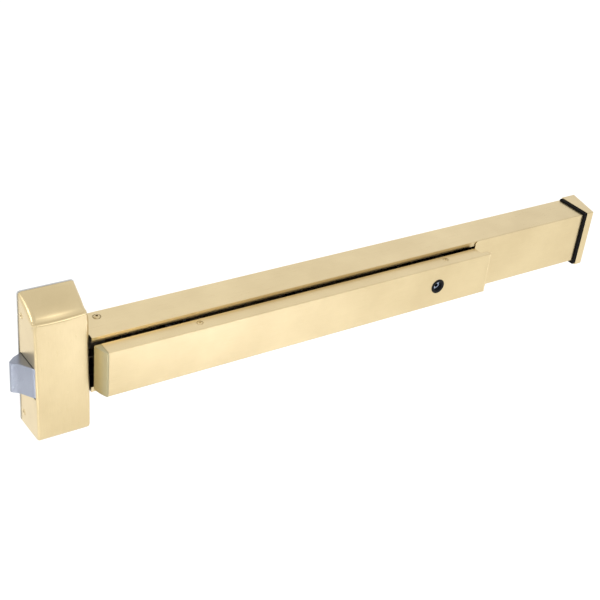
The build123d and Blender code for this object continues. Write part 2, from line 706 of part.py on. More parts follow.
with BuildPart() as dog_keeper:
    # bridge over the linkage with a slot for the cross bar
    slab(dog_x - 11, dog_x + 9, 41.9, 44.4, -24, 24)
    for side in (-1, 1):
        z0, z1 = sorted((side * 22, side * 24))
        slab(dog_x - 11, dog_x + 9, rail_wall, 44.4, z0, z1)
        z0, z1 = sorted((side * 22, side * 34))
        slab(dog_x - 11, dog_x + 9, rail_wall, 4.4, z0, z1)
    with BuildSketch(facing(0)):
        with Locations((dog_x, 0)):
            SlotOverall(18.2, 9.2)
    extrude(amount=100, mode=Mode.SUBTRACT)
save(dog_keeper.part, "dog_keeper")
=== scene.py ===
"""Looks for the panic exit bar: materials, finer pieces, a pale floor, soft studio light and the camera.

Everything is in metres in the part's own frame: +X along the bar, +Y into the door, +Z up.
Sizes of the finer pieces are written in millimetres and turned into metres where a mesh is made.
A "reach" is a distance out from the door face, so Y = -reach.
"""

import json
import math

import bmesh
import bpy
from mathutils import Matrix, Vector


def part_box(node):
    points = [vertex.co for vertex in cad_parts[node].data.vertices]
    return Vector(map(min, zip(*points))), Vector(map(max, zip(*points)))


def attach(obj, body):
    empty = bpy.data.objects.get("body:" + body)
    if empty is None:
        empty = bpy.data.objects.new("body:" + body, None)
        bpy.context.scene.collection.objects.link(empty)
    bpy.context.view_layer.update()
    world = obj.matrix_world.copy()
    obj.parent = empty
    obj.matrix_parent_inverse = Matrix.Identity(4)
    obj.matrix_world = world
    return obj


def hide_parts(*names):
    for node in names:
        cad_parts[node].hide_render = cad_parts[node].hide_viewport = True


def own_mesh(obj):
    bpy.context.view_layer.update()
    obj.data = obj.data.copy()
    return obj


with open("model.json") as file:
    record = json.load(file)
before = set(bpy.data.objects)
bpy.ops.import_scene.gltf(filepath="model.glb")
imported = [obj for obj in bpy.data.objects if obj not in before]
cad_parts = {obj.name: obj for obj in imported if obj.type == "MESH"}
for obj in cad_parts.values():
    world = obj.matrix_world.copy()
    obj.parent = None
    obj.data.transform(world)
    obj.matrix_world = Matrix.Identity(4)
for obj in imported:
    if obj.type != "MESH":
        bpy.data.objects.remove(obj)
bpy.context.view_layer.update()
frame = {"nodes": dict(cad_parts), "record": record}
nodes = frame["nodes"]
MM = 0.001


# ------------------------------------------------------------------ camera
def add_camera(target, distance, azimuth, elevation, roll, lens):
    """A camera that looks at target from azimuth and elevation, turned by roll about its own axis."""
    a, e, r = (math.radians(v) for v in (azimuth, elevation, roll))
    back = Vector((math.sin(a) * math.cos(e), -math.cos(a) * math.cos(e), math.sin(e)))
    right = Vector((math.cos(a), math.sin(a), 0.0))
    up = back.cross(right)
    across = right * math.cos(r) + up * math.sin(r)
    upward = up * math.cos(r) - right * math.sin(r)
    data = bpy.data.cameras.new("camera")
    data.lens = lens
    data.sensor_width = 36.0
    data.clip_end = 50.0
    camera = bpy.data.objects.new("camera", data)
    place = Matrix((across, upward, back)).transposed().to_4x4()
    place.translation = Vector(target) + back * distance
    camera.matrix_world = place
    bpy.context.scene.collection.objects.link(camera)
    bpy.context.scene.camera = camera


add_camera(
    target=(0.2598, -0.1486, 0.0914),
    distance=1.3916,
    azimuth=-36.54,
    elevation=31.54,
    roll=6.675,
    lens=69.93,
)


# ------------------------------------------------------------------ materials
def new_material(name):
    """An empty node material: the material, its node tree and its shader."""
    material = bpy.data.materials.new(name)
    material.use_nodes = True
    tree = material.node_tree
    return material, tree, tree.nodes["Principled BSDF"]


def noise(tree, scale, detail, roughness, stretch=(1.0, 1.0, 1.0)):
    """A noise texture in object space, stretched along the axes; gives its factor output."""
    place = tree.nodes.new("ShaderNodeTexCoord")
    mapping = tree.nodes.new("ShaderNodeMapping")
    mapping.inputs["Scale"].default_value = stretch
    tree.links.new(place.outputs["Object"], mapping.inputs["Vector"])
    texture = tree.nodes.new("ShaderNodeTexNoise")
    texture.inputs["Scale"].default_value = scale
    texture.inputs["Detail"].default_value = detail
    texture.inputs["Roughness"].default_value = roughness
    tree.links.new(mapping.outputs["Vector"], texture.inputs["Vector"])
    return texture.outputs["Fac"]


def remap(tree, value, low, high, start=0.3, end=0.7):
    """Turns a noise value between start and end into one between low and high."""
    ranged = tree.nodes.new("ShaderNodeMapRange")
    ranged.inputs["From Min"].default_value = start
    ranged.inputs["From Max"].default_value = end
    ranged.inputs["To Min"].default_value = low
    ranged.inputs["To Max"].default_value = high
    tree.links.new(value, ranged.inputs["Value"])
    return ranged.outputs["Result"]


def tint(tree, value, dark, light, start=0.3, end=0.7):
    """A colour ramp from dark to light over a noise value."""
    ramp = tree.nodes.new("ShaderNodeValToRGB")
    low, high = ramp.color_ramp.elements
    low.position, high.position = start, end
    low.color, high.color = (*dark, 1.0), (*light, 1.0)
    tree.links.new(value, ramp.inputs["Fac"])
    return ramp.outputs["Color"]


def relief(tree, shader, value, depth, strength=0.3):
    """Bump from a noise value, depth in millimetres."""
    bump = tree.nodes.new("ShaderNodeBump")
    bump.inputs["Strength"].default_value = strength
    bump.inputs["Distance"].default_value = depth * MM
    tree.links.new(value, bump.inputs["Height"])
    tree.links.new(bump.outputs["Normal"], shader.inputs["Normal"])


def blend(tree, amount, first, second):
    """A mix of two colours by an amount; each colour is a socket or a tuple of three numbers."""
    mix = tree.nodes.new("ShaderNodeMix")
    mix.data_type = "RGBA"
    tree.links.new(amount, mix.inputs["Factor"])
    for side, colour in (("A", first), ("B", second)):
        if isinstance(colour, tuple):
            mix.inputs[side].default_value = (*colour, 1.0)
        else:
            tree.links.new(colour, mix.inputs[side])
    return mix.outputs["Result"]


def arithmetic(tree, operation, first, second=0.0):
    """One node of arithmetic on a socket and either a number or a second socket."""
    node = tree.nodes.new("ShaderNodeMath")
    node.operation = operation
    tree.links.new(first, node.inputs[0])
    if isinstance(second, float):
        node.inputs[1].default_value = second
    else:
        tree.links.new(second, node.inputs[1])
    return node.outputs["Value"]


def paint_crevice_shade(tree, base, crevice_shade_colour, reach=6.0):
    """Paints shade into a base colour where another surface is within a reach in millimetres, darkest in
    seams and recesses.
    """
    closeness = tree.nodes.new("ShaderNodeAmbientOcclusion")
    closeness.samples = 8
    closeness.inputs["Distance"].default_value = reach * MM
    open_to_air = remap(tree, closeness.outputs["AO"], low=0.0, high=1.0, start=0.12, end=0.62)
    return blend(tree, open_to_air, crevice_shade_colour, base)


# near-black brown: painted shade for the inside of a section
inside_shade_colour = (0.060, 0.042, 0.022)


def paint_inside_shade(tree, base, near, far, half):
    """Painted shade on the inside of a section: near black between two reaches and within half a height,
    in millimetres.
    """
    place = tree.nodes.new("ShaderNodeTexCoord")
    axes = tree.nodes.new("ShaderNodeSeparateXYZ")
    tree.links.new(place.outputs["Object"], axes.inputs["Vector"])
    height = arithmetic(tree, "ABSOLUTE", axes.outputs["Z"])
    inside = arithmetic(tree, "LESS_THAN", height, half * MM)
    for operation, reach in (("LESS_THAN", near), ("GREATER_THAN", far)):
        test = arithmetic(tree, operation, axes.outputs["Y"], -reach * MM)
        inside = arithmetic(tree, "MULTIPLY", inside, test)
    return blend(tree, inside, base, inside_shade_colour)


def paint_edge_highlight(tree, shader, base, bright, width=0.9):
    """Paints a highlight along edges by lightening a base colour: width in millimetres."""
    rounded = tree.nodes.new("ShaderNodeBevel")
    rounded.samples = 6
    rounded.inputs["Radius"].default_value = width * MM
    geometry = tree.nodes.new("ShaderNodeNewGeometry")
    agree = tree.nodes.new("ShaderNodeVectorMath")
    agree.operation = "DOT_PRODUCT"
    tree.links.new(rounded.outputs["Normal"], agree.inputs[0])
    tree.links.new(geometry.outputs["Normal"], agree.inputs[1])
    # how much painted highlight an edge gets, from how far the rounded normal turns from the true one
    highlight_amount = remap(tree, agree.outputs["Value"], low=0.7, high=0.0, start=0.90, end=0.995)
    tree.links.new(blend(tree, highlight_amount, base, bright), shader.inputs["Base Color"])


def satin_metal(name, light, dark, roughness, stretch, coat=0.0, hollow=None):
    """Satin metal with a fine brush, painted highlights along its edges and painted shade in its seams.

    stretch is the grain's scale along X, Y and Z, and hollow is what paint_inside_shade takes, for painted
    shade inside a section.
    """
    material, tree, shader = new_material(name)
    grain = noise(tree, scale=1.0, detail=5.0, roughness=0.6, stretch=stretch)
    cloud = noise(tree, scale=14.0, detail=4.0, roughness=0.55)
    grain_share = 0.45
    shade = tree.nodes.new("ShaderNodeMath")
    shade.operation = "MULTIPLY_ADD"
    shade.inputs[1].default_value = grain_share
    tree.links.new(grain, shade.inputs[0])
    tree.links.new(cloud, shade.inputs[2])
    base = tint(tree, shade.outputs["Value"], dark, light, start=0.55, end=0.95)
    # painted shade in seams and recesses: a tenth of the dark tone
    crevice_shade_colour = tuple(0.10 * c for c in dark)
    # painted highlight along edges: the light tone made brighter
    bright = tuple(min(1.0, 1.28 * c) for c in light)
    base = paint_crevice_shade(tree, base, crevice_shade_colour)
    if hollow:
        base = paint_inside_shade(tree, base, *hollow)
    paint_edge_highlight(tree, shader, base, bright)
    uneven = remap(tree, grain, low=roughness - 0.03, high=roughness + 0.04)
    tree.links.new(uneven, shader.inputs["Roughness"])
    relief(tree, shader, grain, depth=0.010)
    shader.inputs["Metallic"].default_value = 1.0
    shader.inputs["Coat Weight"].default_value = coat
    shader.inputs["Coat Roughness"].default_value = 0.18
    return material


def plain_plastic(name, light, dark, roughness, scale, depth, gloss=0.5):
    """Moulded rubber or plastic with a fine even texture, depth in millimetres."""
    material, tree, shader = new_material(name)
    speck = noise(tree, scale, detail=4.0, roughness=0.6)
    tree.links.new(tint(tree, speck, dark, light), shader.inputs["Base Color"])
    uneven = remap(tree, speck, low=roughness - 0.06, high=roughness + 0.06)
    tree.links.new(uneven, shader.inputs["Roughness"])
    relief(tree, shader, speck, depth)
    shader.inputs["Specular IOR Level"].default_value = gloss
    return material


# how fine the brush is along X, Y and Z: coarse along the grain, fine across it
along = (30, 1500, 1500)
upright = (1500, 1500, 30)
upright_soft = (900, 900, 60)
# where painted shade darkens the inside of a section: its near reach, far reach and half height, in
# millimetres
rail_inside = (1.0, 50.3, 38.3)
pad_inside = (0.0, 76.3, 30.3)

polished = {"light": (0.770, 0.630, 0.372), "dark": (0.690, 0.555, 0.318), "roughness": 0.30, "coat": 0.25}
brass_along = satin_metal("brass_brushed_along", stretch=along, **polished)
brass_rail = satin_metal("brass_rail", stretch=along, hollow=rail_inside, **polished)
brass_pad = satin_metal("brass_pad", stretch=along, hollow=pad_inside, **polished)
brass_upright = satin_metal("brass_brushed_upright", stretch=upright, **polished)
brass_turned = satin_metal("brass_turned", (0.76, 0.61, 0.35), (0.62, 0.49, 0.27), 0.30, (900, 900, 900))
# a darker, olive copy of the satin brass: painted shade on the pad's end cap next to the head
shaded_cap_brass = satin_metal("brass_with_painted_shade", (0.50, 0.450, 0.275), (0.42, 0.370, 0.220), 0.34, upright)
latch_steel = satin_metal("latch_steel", (0.37, 0.395, 0.465), (0.31, 0.335, 0.405), 0.30, upright_soft)
dog_steel = satin_metal("dog_steel", (0.50, 0.57, 0.70), (0.38, 0.44, 0.56), 0.24, (800, 800, 800))
spring_steel = satin_metal("spring_steel", (0.62, 0.62, 0.63), (0.50, 0.50, 0.51), 0.28, (500, 500, 500))
zinc = satin_metal("zinc_plate", (0.62, 0.63, 0.64), (0.50, 0.51, 0.53), 0.42, (260, 260, 260))
# a dark brown copy of the metal: painted shade on the linkage parts inside the rail
zinc_in_painted_shade = satin_metal("zinc_with_painted_shade", (0.20, 0.17, 0.12), (0.10, 0.085, 0.06), 0.48,
                           (260, 260, 260))
black_rubber = plain_plastic("black_rubber", (0.012, 0.011, 0.010), (0.005, 0.005, 0.005), 0.7,
                             scale=700, depth=0.03, gloss=0.08)
black_collar = plain_plastic("black_collar", (0.020, 0.020, 0.022), (0.006, 0.006, 0.007), 0.42,
                             scale=500, depth=0.01, gloss=0.06)
nylon = plain_plastic("nylon", (0.060, 0.058, 0.054), (0.040, 0.039, 0.036), 0.5,
                      scale=260, depth=0.02)

finishes = {
    "satin_brass": brass_along, "brass_screws": brass_turned, "latch_steel": latch_steel,
    "dog_steel": dog_steel, "black_collar": black_collar, "black_rubber": black_rubber,
    "nylon": nylon, "spring_steel": spring_steel, "zinc_steel": zinc,
}
for part in frame["record"]["subparts"]:
    node = nodes[part["node"]]
    node.data.materials.clear()
    node.data.materials.append(finishes[part["material_slot"]])
# the pad's end cap by the head takes the brass copy with painted shade
nodes["pad_cap_head_end"].data.materials[0] = shaded_cap_brass
# the rail and the pad take brass with painted shade inside them
nodes["rail_case"].data.materials[0] = brass_rail
nodes["push_pad"].data.materials[0] = brass_pad
# the linkage parts inside the rail take this dark copy, painted shade
for name in ("crank_bracket_1", "crank_bracket_2", "pad_bracket_1", "pad_bracket_2", "drawbar",
             "rail_bracket", "bell_crank_2", "dog_keeper", "linkage_screws", "dog_cam"):
    nodes[name].data.materials[0] = zinc_in_painted_shade


# ------------------------------------------------------------------ mesh helpers
def add_object(name, mesh, material):
    """Puts a mesh with one material into the scene."""
    mesh.materials.append(material)
    piece = bpy.data.objects.new(name, mesh)
    bpy.context.scene.collection.objects.link(piece)
    return piece


def mesh_object(name, points, faces, material, sharp=32.0):
    """A mesh object from points in metres, smooth but for edges sharper than the given angle."""
    mesh = bpy.data.meshes.new(name)
    mesh.from_pydata(points, [], faces)
    mesh.validate()
    piece = add_object(name, mesh, material)
    tidy_shading(piece, sharp)
    return piece


def shell_object(name, shell, material, sharp=32.0):
    """A mesh object made from a bmesh, which is freed."""
    mesh = bpy.data.meshes.new(name)
    shell.to_mesh(mesh)
    shell.free()
    piece = add_object(name, mesh, material)
    tidy_shading(piece, sharp)
    return piece


def node_shell(node):
    """A bmesh copy of a CAD node in the part's frame, its doubled vertices merged."""
    shell = bmesh.new()
    shell.from_mesh(nodes[node].data)
    shell.transform(nodes[node].matrix_world)
    bmesh.ops.remove_doubles(shell, verts=shell.verts, dist=2e-6)
    return shell


def tidy_shading(piece, sharp=32.0):
    """Merges doubled vertices, points every face outwards and marks sharp edges by angle."""
    shell = bmesh.new()
    shell.from_mesh(piece.data)
    bmesh.ops.remove_doubles(shell, verts=shell.verts, dist=1e-7)
    bmesh.ops.recalc_face_normals(shell, faces=shell.faces)
    shell.to_mesh(piece.data)
    shell.free()
    piece.data.shade_smooth()
    piece.data.set_sharp_from_angle(angle=math.radians(sharp))


def apply_modifiers(piece):
    """Bakes a piece's modifiers into its own mesh."""
    graph = bpy.context.evaluated_depsgraph_get()
    mesh = bpy.data.meshes.new_from_object(piece.evaluated_get(graph))
    piece.modifiers.clear()
    piece.data = mesh


def cut(piece, cutters):
    """Takes each cutter's volume out of a piece and deletes the cutters."""
    for cutter in cutters:
        tool = piece.modifiers.new("cut", "BOOLEAN")
        tool.operation = "DIFFERENCE"
        tool.solver = "EXACT"
        tool.object = cutter
    bpy.context.view_layer.update()
    apply_modifiers(piece)
    for cutter in cutters:
        bpy.data.objects.remove(cutter)


def flatten_normals(piece):
    """Keeps large flat faces flat where they meet a rounded edge."""
    weights = piece.modifiers.new("flat faces", "WEIGHTED_NORMAL")
    weights.keep_sharp = True
    weights.weight = 100


# the faces of a box whose corners run over its three directions, the last one quickest
box_faces = [(0, 1, 3, 2), (4, 6, 7, 5), (0, 4, 5, 1), (2, 3, 7, 6), (0, 2, 6, 4), (1, 5, 7, 3)]


def block(low, high):
    """A box between two corners given as (x, reach, z) in millimetres, used as a cutter."""
    x0, r0, z0 = low
    x1, r1, z1 = high
    points = [(x * MM, -r * MM, z * MM) for x in (x0, x1) for r in (r0, r1) for z in (z0, z1)]
    return mesh_object("cutter", points, box_faces, zinc)


def turned(name, profile, place, axis, material, segments=48):
    """A solid of revolution: profile is (radius, height) in millimetres, height along axis."""
    axis = Vector(axis).normalized()
    side = axis.orthogonal().normalized()
    other = axis.cross(side)
    centre = Vector(place)
    points, rings = [], []
    for radius, height in profile:
        if radius == 0.0:
            rings.append([len(points)])
            points.append(centre + axis * height * MM)
            continue
        start = len(points)
        rings.append(list(range(start, start + segments)))
        for k in range(segments):
            turn = 2 * math.pi * k / segments
            spoke = side * math.cos(turn) + other * math.sin(turn)
            points.append(centre + axis * height * MM + spoke * radius * MM)
    faces = []
    for ring, after in zip(rings, rings[1:]):
        for k in range(segments):
            nxt = (k + 1) % segments
            if len(ring) == 1:
                faces.append((ring[0], after[nxt], after[k]))
            elif len(after) == 1:
                faces.append((ring[k], ring[nxt], after[0]))
            else:
                faces.append((ring[k], ring[nxt], after[nxt], after[k]))
    return mesh_object(name, points, faces, material)


def join(name, parts, material):
    """One object made of several, with one material; the several are deleted."""
    shell = bmesh.new()
    for piece in parts:
        shell.from_mesh(piece.data)
        bpy.data.objects.remove(piece)
    return shell_object(name, shell, material)


def stand_for(piece, node, body):
    """The piece replaces a CAD node, which it hides, and rides on its body."""
    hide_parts(node)
    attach(piece, body)


# ------------------------------------------------------------------ soft edges on the plain sections
def soften(node, body, width, steps=3, sharp=32.0):
    """A finer copy of a CAD node, its sharp edges rounded over a width in millimetres; it replaces it."""
    flat_angle, shading_angle = 0.8, 40.0
    shell = node_shell(node)
    bmesh.ops.dissolve_limit(shell, angle_limit=math.radians(flat_angle), verts=shell.verts,
                             edges=shell.edges)
    limit = math.radians(sharp)
    edges = [e for e in shell.edges if e.is_manifold and e.calc_face_angle(0.0) > limit]
    bmesh.ops.bevel(shell, geom=edges, offset=width * MM, offset_type="OFFSET", segments=steps,
                    profile=0.5, affect="EDGES", clamp_overlap=True)
    bmesh.ops.triangulate(shell, faces=[f for f in shell.faces if len(f.verts) > 4])
    piece = shell_object(node + "_soft", shell, nodes[node].data.materials[0], shading_angle)
    flatten_normals(piece)
    stand_for(piece, node, body)


# ------------------------------------------------------------------ latch head's cover
def arc_points(centre, radius, start, end, steps):
    """Points on an arc in the (reach, z) plane, angles in degrees from +reach towards +z."""
    points = []
    for k in range(steps + 1):
        turn = math.radians(start + (end - start) * k / steps)
        points.append((centre[0] + radius * math.cos(turn), centre[1] + radius * math.sin(turn)))
    return points


def spline(points, steps):
    """A smooth curve through points, sampled evenly between each pair."""
    result = []
    for i in range(len(points) - 1):
        before = points[max(i - 1, 0)]
        a, b = points[i], points[i + 1]
        after = points[min(i + 2, len(points) - 1)]
        for k in range(steps):
            t = k / steps
            result.append(tuple(
                0.5 * (2 * a[c] + (b[c] - before[c]) * t
                       + (2 * before[c] - 5 * a[c] + 4 * b[c] - after[c]) * t * t
                       + (3 * a[c] - before[c] - 3 * b[c] + after[c]) * t ** 3)
                for c in range(len(a))))
    result.append(points[-1])
    return result


# the cover's sizes, in millimetres
cover_back = 2.2
cover_half = 35.0
cover_wall = 2.0
cover_draft = math.tan(math.radians(1.4))
# where the lip of the brow starts to stand in from the sides, over what rise and run, and how far
lip_reach, lip_foot = 41.6, 61.0
lip_rise, lip_run = 11.0, 1.2
lip_most = 2.6
# the brow's line: its height, how far up and down it bends the front, its sag and its tilt
brow_height, brow_spread = 70.0, 6.0
brow_sag, brow_tilt = 2.6, 1.0
brow_least_reach = 30.0
# the flat sides: the most that their outer band is wide, and the reach and heights that bound their core
band = 4.5
core_reach, core_foot, core_top = 15.0, -75.0, 60.0
# the latch bolt's slot and the way for the rail, in the cover's two sides
slot_near, slot_far = 5.0, 47.6
slot_foot, slot_top = -32.6, 12.0
way_far, way_half = 44.0, 26.0


def cover_side(reach):
    """Half the cover's width at a reach."""
    return cover_half - (reach - cover_back) * cover_draft


def lip_inset(reach, height):
    """How far the brow's lip stands in from the sides, which rounds the front panel's top corners."""
    if reach < lip_reach or height < lip_foot:
        return 0.0
    rise = min((height - lip_foot) / lip_rise, 1.0)
    back = min((reach - lip_reach) / lip_run, 1.0)
    return lip_most * rise * rise * back


def brow_drop(x, reach, height):
    """How far the brow's line sags in the middle and tilts down on the latch bolt's side."""
    if reach <= brow_least_reach:
        return 0.0
    near_brow = math.exp(-((height - brow_height) / brow_spread) ** 2)
    return (brow_sag * (1 - (x / cover_half) ** 2) - brow_tilt * x / cover_half) * near_brow


def outline_run(profile, i):
    """The outline's direction at its point i; at its two ends it is square to the door."""
    last = len(profile) - 1
    before, after = profile[max(i - 1, 0)], profile[min(i + 1, last)]
    run = Vector((after[0] - before[0], after[1] - before[1])).normalized()
    if i in (0, last):
        run = Vector((math.copysign(1.0, run.x), 0.0))
    return run


def cover_profile():
    """The cover's middle outline in (reach, z, edge radius), from the back's foot round to its top."""
    foot = spline([(cover_back, -93.4, 2.5), (20.0, -93.2, 2.5), (40.0, -92.6, 3.0)], 6)
    toe = [(r, z, 3.2) for r, z in arc_points((46.2, -85.6), 7.0, -98, 2, 10)]
    front = spline([(53.1, -76.0, 3.2), (52.3, -50.0, 3.2), (50.0, 5.0, 3.2), (48.0, 50.0, 3.2),
                    (47.3, 65.0, 3.1)], 10)
    brow = [(r, z, 1.9) for r, z in arc_points((44.4, 70.6), 2.8, 4, 112, 8)]
    crease = [(42.6, 72.8, 2.2), (41.9, 73.0, 3.0), (41.0, 73.5, 4.2)]
    slope = spline([(39.0, 75.0, 6.5), (35.0, 78.1, 8.0), (27.0, 83.6, 8.0), (17.0, 88.4, 7.5),
                    (8.0, 91.6, 6.0), (cover_back, 92.9, 4.5)], 6)
    return foot + toe + front + brow + crease + slope


def hollow_profile(profile):
    """The cavity's outline: the outer one moved in by the wall, cut straight across behind the brow."""
    least_radius = 0.8
    front_top = 60.0
    slope_foot, slope_reach = 70.0, 32.0
    across = [(43.6, 63.0, 0.8), (41.8, 66.5, 1.0), (38.4, 70.6, 2.0), (34.6, 74.2, 4.0)]
    moved = []
    for i, (reach, height, radius) in enumerate(profile):
        run = outline_run(profile, i)
        radius = max(radius - cover_wall, least_radius)
        moved.append((reach - run.y * cover_wall, height + run.x * cover_wall, radius))
    below = [spot for spot in moved if spot[1] < front_top and spot[0] >= cover_back]
    above = [spot for spot in moved if spot[1] > slope_foot and spot[0] < slope_reach]
    return below + across + above


def side_point(side, edge_point, side_inset):
    """A point on the cover's flat side, up to a band's width in from an edge point, towards the core."""
    reach, height = edge_point[1:]
    core = Vector((min(reach, core_reach), max(min(height, core_top), core_foot)))
    inward = core - Vector((reach, height))
    step = inward.normalized() * min(band, 0.5 * inward.length)
    return (side * (cover_side(reach + step.x) - side_inset), reach + step.x, height + step.y)


def cover_rows(profile, side_inset):
    """Rows of points, one per profile point, from side to side with quarter-round edges between."""
    last = len(profile) - 1
    arc_steps, flat_steps = 8, 12
    back_gap = 0.05
    quarter = [math.radians(90 * k / arc_steps) for k in range(arc_steps + 1)]
    stations = [(-1, 1 - math.sin(q), 1 - math.cos(q)) for q in reversed(quarter)]
    stations += [(0, k / flat_steps, 0.0) for k in range(1, flat_steps)]
    stations += [(1, 1 - math.sin(q), 1 - math.cos(q)) for q in quarter]
    rows = []
    for i, (reach, height, radius) in enumerate(profile):
        run = outline_run(profile, i)
        inset = side_inset if side_inset else lip_inset(reach, height)
        # each row stays in front of the one nearer to the back
        least = cover_back + back_gap * min(i, last - i)
        row = []
        for side, across, drop in stations:
            r = max(reach - run.y * drop * radius, least)
            half = cover_side(r) - inset
            x = side * (half - across * radius) if side else (half - radius) * (2 * across - 1)
            z = height + run.x * drop * radius - brow_drop(x, reach, height)
            row.append((x, r, z))
        rows.append([side_point(-1, row[0], side_inset)] + row + [side_point(1, row[-1], side_inset)])
    return rows


def cover_casting():
    """The open-backed casting: outer and inner rows of points joined by a rim at the back."""
    profile = cover_profile()
    points, faces, skins = [], [], []
    for form, inset in ((profile, 0.0), (hollow_profile(profile), cover_wall)):
        skin = []
        for row in cover_rows(form, inset):
            skin.append(list(range(len(points), len(points) + len(row))))
            points += [(x * MM, -r * MM, z * MM) for x, r, z in row]
        for row, after in zip(skin, skin[1:]):
            for k in range(len(row) - 1):
                faces.append((row[k], row[k + 1], after[k + 1], after[k]))
        faces.append(tuple(row[0] for row in skin))
        faces.append(tuple(row[-1] for row in reversed(skin)))
        skins.append(skin)
    outer, inner = skins
    for row, inside in ((outer[0], inner[0]), (outer[-1], inner[-1])):
        for k in range(len(row) - 1):
            faces.append((row[k], inside[k], inside[k + 1], row[k + 1]))
    for k in (0, -1):
        faces.append((outer[0][k], outer[-1][k], inner[-1][k], inner[0][k]))
    return mesh_object("cover_casting", points, faces, brass_upright, sharp=30.0)


# the cover's screws: their reach and heights, and how far from the middle their seats are
cover_screw_reach = 11.0
cover_screw_heights = (66.0, -74.0)
cover_screw_face = round(cover_side(cover_screw_reach), 2)


def screw_seat(side, height):
    """A cutter for a screw's seat in the cover's side: a hole, a flat recess and a flared rim."""
    hole, recess, rim = 2.05, 3.5, 4.5
    deep, floor, flare, clear = -3.5, -0.9, 0.15, 3.0
    profile = [(0, deep), (hole, deep), (hole, floor), (recess, floor), (rim, flare), (rim, clear),
               (0, clear)]
    place = (side * cover_screw_face * MM, -cover_screw_reach * MM, height * MM)
    return turned("cutter", profile, place, (side, 0, 0), zinc)


def head_shell():
    """The cast cover: a drafted shell with soft edges, a brow over the front and a sloped top."""
    shell = cover_casting()
    # both openings are cut from well inside a side wall to well outside it
    inside, outside = 30, 60
    latch_slot = block((-outside, slot_near, slot_foot), (-inside, slot_far, slot_top))
    rail_way = block((inside, -2, -way_half), (outside, way_far, way_half))
    seats = [screw_seat(side, height) for side in (-1, 1) for height in cover_screw_heights]
    cut(shell, [latch_slot, rail_way] + seats)
    tidy_shading(shell, 30.0)
    flatten_normals(shell)
    return shell


cover = head_shell()
stand_for(cover, "head_cover", "frame")


# ------------------------------------------------------------------ base plate and plain sections
def round_plate_corners(node, body, radius):
    """A copy of the base plate with its corners rounded to a radius in millimetres; it replaces it."""
    low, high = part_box(node)
    size = radius * MM
    # further out from the door than this there are only the screw tabs
    tabs_start = 0.25 * low[1]
    shell = node_shell(node)
    for axis in (0, 2):
        normal = Vector([1.0 if k == axis else 0.0 for k in range(3)])
        for place in (low[axis] + size, high[axis] - size):
            bmesh.ops.bisect_plane(shell, geom=shell.verts[:] + shell.edges[:] + shell.faces[:],
                                   dist=1e-7, plane_co=normal * place, plane_no=normal)
    for vert in shell.verts:
        spot = vert.co
        if spot.y < tabs_start:
            continue
        for edge_x, side in ((low[0], 1), (high[0], -1)):
            for edge_z, rise in ((low[2], 1), (high[2], -1)):
                centre = Vector((edge_x + side * size, edge_z + rise * size))
                out = Vector((spot.x, spot.z)) - centre
                if out.x * side < 0 and out.y * rise < 0 and out.length > size:
                    out = out.normalized() * size
                    spot.x, spot.z = centre.x + out.x, centre.y + out.y
    piece = shell_object(node + "_round", shell, nodes[node].data.materials[0], sharp=10.0)
    flatten_normals(piece)
    stand_for(piece, node, body)


round_plate_corners("head_base_plate", "frame", radius=4.0)

for name, body, width in (
    ("rail_case", "frame", 0.5), ("filler_plate", "frame", 0.8), ("end_cap", "frame", 0.9),
    ("end_gasket", "frame", 0.8), ("push_pad", "pad", 0.45), ("pad_cap_head_end", "pad", 0.6),
    ("pad_cap_hinge_end", "pad", 0.6), ("latch_bolt", "latch", 0.5),
    ("dog_bush", "pad", 0.7), ("dog_shaft", "dog", 0.4),
):
    soften(name, body, width)


# ------------------------------------------------------------------ screws
def hex_recess(radius, rise, top, axis):
    """A list of one cutter, for a hex socket in a screw's head."""
    corner, depth, clear = 0.42 * radius, -0.75 * rise, 1
    profile = [(0, depth), (corner, depth), (corner, clear), (0, clear)]
    return [turned("cutter", profile, top, axis, brass_turned, segments=6)]


def cross_recess(radius, rise, top, axis):
    """A list of two cutters, for a cross in a screw's head."""
    length, width, depth = 0.60 * radius * MM, 0.13 * radius * MM, 0.6 * rise * MM
    side = axis.orthogonal().normalized()
    other = axis.cross(side)
    cutters = []
    for long, short in ((side, other), (other, side)):
        corners = [top + long * (i * length) + short * (j * width) + axis * k
                   for i in (-1, 1) for j in (-1, 1) for k in (-depth, MM)]
        cutters.append(mesh_object("cutter", corners, box_faces, brass_turned))
    return cutters


recesses = {"hex": hex_recess, "cross": cross_recess}


def screw_head(name, place, axis, radius, rise, sink, recess):
    """A screw head with a rounded top and a recess, sizes in millimetres.

    place is on the surface round the head, whose underside is at sink from it along axis.
    """
    arc_steps = 8
    rim = 0.22 * rise
    flat, dome = 0.30, 0.68
    profile = [(0.0, sink), (radius * 0.97, sink), (radius, sink + rim)]
    for k in range(arc_steps + 1):
        turn = math.radians(90 * k / arc_steps)
        height = sink + rim + (rise - rim) * math.sin(turn)
        profile.append((radius * (flat + dome * math.cos(turn)), height))
    profile.append((0.0, sink + rise))
    head = turned(name, profile, place, axis, brass_turned)
    axis = Vector(axis).normalized()
    top = Vector(place) + axis * (sink + rise) * MM
    cut(head, recesses[recess](radius, rise, top, axis))
    return head


def add_screws(name, node, body, places, **sizes):
    """Screw heads at places given as (spot, axis), which together replace one CAD node of screws."""
    heads = [screw_head(name, place, axis, **sizes) for place, axis in places]
    stand_for(join(name, heads, brass_turned), node, body)


rail_low, rail_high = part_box("rail_case")
low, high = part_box("rail_screws")
rail_screw = ((low[0] + high[0]) / 2, (low[1] + high[1]) / 2)
add_screws(
    "rail_button_screws", "rail_screws", "frame",
    [((*rail_screw, rail_high[2]), (0, 0, 1)), ((*rail_screw, rail_low[2]), (0, 0, -1))],
    radius=4.7, rise=2.4, sink=-1.0, recess="hex",
)

